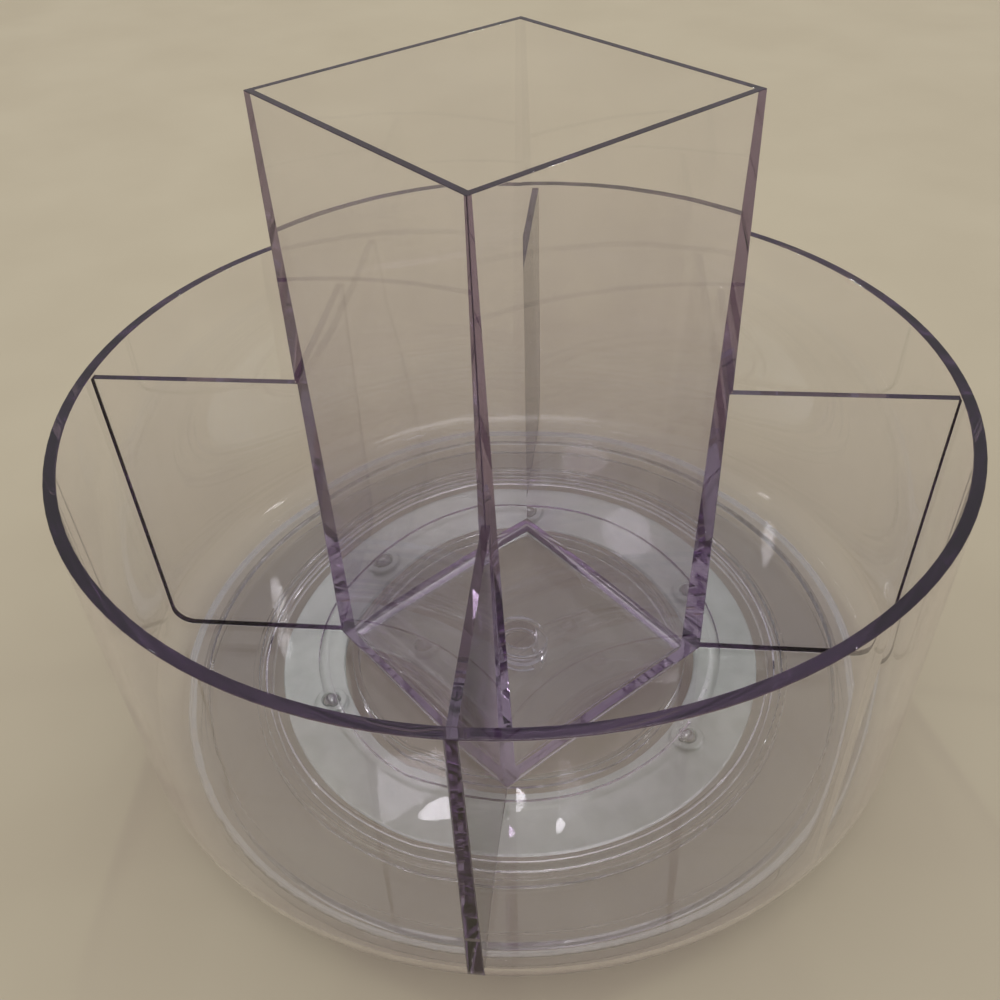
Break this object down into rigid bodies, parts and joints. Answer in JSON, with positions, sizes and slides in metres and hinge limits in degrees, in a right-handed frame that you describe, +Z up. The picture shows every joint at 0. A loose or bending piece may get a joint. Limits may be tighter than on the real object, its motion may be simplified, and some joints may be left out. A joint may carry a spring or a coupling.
{
  "type": "rotating makeup organizer",
  "caption": "Clear round tray with dividers and a tall square bin at its centre, turning on a ball bearing over a low clear base.",
  "frame": {"origin": "on the turning axis, at the surface that the base stands on", "axes": "+Z up along the turning axis; X and Y square to the bin's sides; the dividers lie on the diagonals"},
  "size_m": [0.25, 0.25, 0.1946],
  "materials": {
    "clear_plastic": "clear moulded plastic with a violet tint at its edges",
    "frosted_plastic": "frosted, translucent",
    "steel_ball": "polished steel"
  },
  "bodies": {
    "base": {"base": "clear_plastic"},
    "tray": {"tray": "clear_plastic", "retaining_ring": "clear_plastic"},
    "cage": {"ball_cage": "frosted_plastic"},
    "ball_1": {"ball_1": "steel_ball"},
    "ball_2": {"ball_2": "steel_ball"},
    "ball_3": {"ball_3": "steel_ball"},
    "ball_4": {"ball_4": "steel_ball"},
    "ball_5": {"ball_5": "steel_ball"},
    "ball_6": {"ball_6": "steel_ball"}
  },
  "joints": [
    {"name": "tray_spin", "type": "hinge", "parent": "base", "child": "tray", "pos_m": [0, 0, 0.012], "axis": [0, 0, 1], "continuous": true},
    {"name": "cage_spin", "type": "hinge", "parent": "base", "child": "cage", "pos_m": [0, 0, 0.00949], "axis": [0, 0, 1], "continuous": true},
    {"name": "ball_1_roll", "type": "hinge", "parent": "cage", "child": "ball_1", "pos_m": [0.06346, 0.01407, 0.00949], "axis": [0.9763, 0.2164, 0], "continuous": true},
    {"name": "ball_2_roll", "type": "hinge", "parent": "cage", "child": "ball_2", "pos_m": [0.01955, 0.06199, 0.00949], "axis": [0.3007, 0.9537, 0], "continuous": true},
    {"name": "ball_3_roll", "type": "hinge", "parent": "cage", "child": "ball_3", "pos_m": [-0.04391, 0.04792, 0.00949], "axis": [-0.6756, 0.7373, 0], "continuous": true},
    {"name": "ball_4_roll", "type": "hinge", "parent": "cage", "child": "ball_4", "pos_m": [-0.06346, -0.01407, 0.00949], "axis": [-0.9763, -0.2164, 0], "continuous": true},
    {"name": "ball_5_roll", "type": "hinge", "parent": "cage", "child": "ball_5", "pos_m": [-0.01955, -0.06199, 0.00949], "axis": [-0.3007, -0.9537, 0], "continuous": true},
    {"name": "ball_6_roll", "type": "hinge", "parent": "cage", "child": "ball_6", "pos_m": [0.04391, -0.04792, 0.00949], "axis": [0.6756, -0.7373, 0], "continuous": true}
  ],
  "couplings": [
    {"joint": "cage_spin", "follows": "tray_spin", "ratio": 0.5},
    {"joint": "ball_1_roll", "follows": "tray_spin", "ratio": -10.833},
    {"joint": "ball_2_roll", "follows": "tray_spin", "ratio": -10.833},
    {"joint": "ball_3_roll", "follows": "tray_spin", "ratio": -10.833},
    {"joint": "ball_4_roll", "follows": "tray_spin", "ratio": -10.833},
    {"joint": "ball_5_roll", "follows": "tray_spin", "ratio": -10.833},
    {"joint": "ball_6_roll", "follows": "tray_spin", "ratio": -10.833}
  ]
}
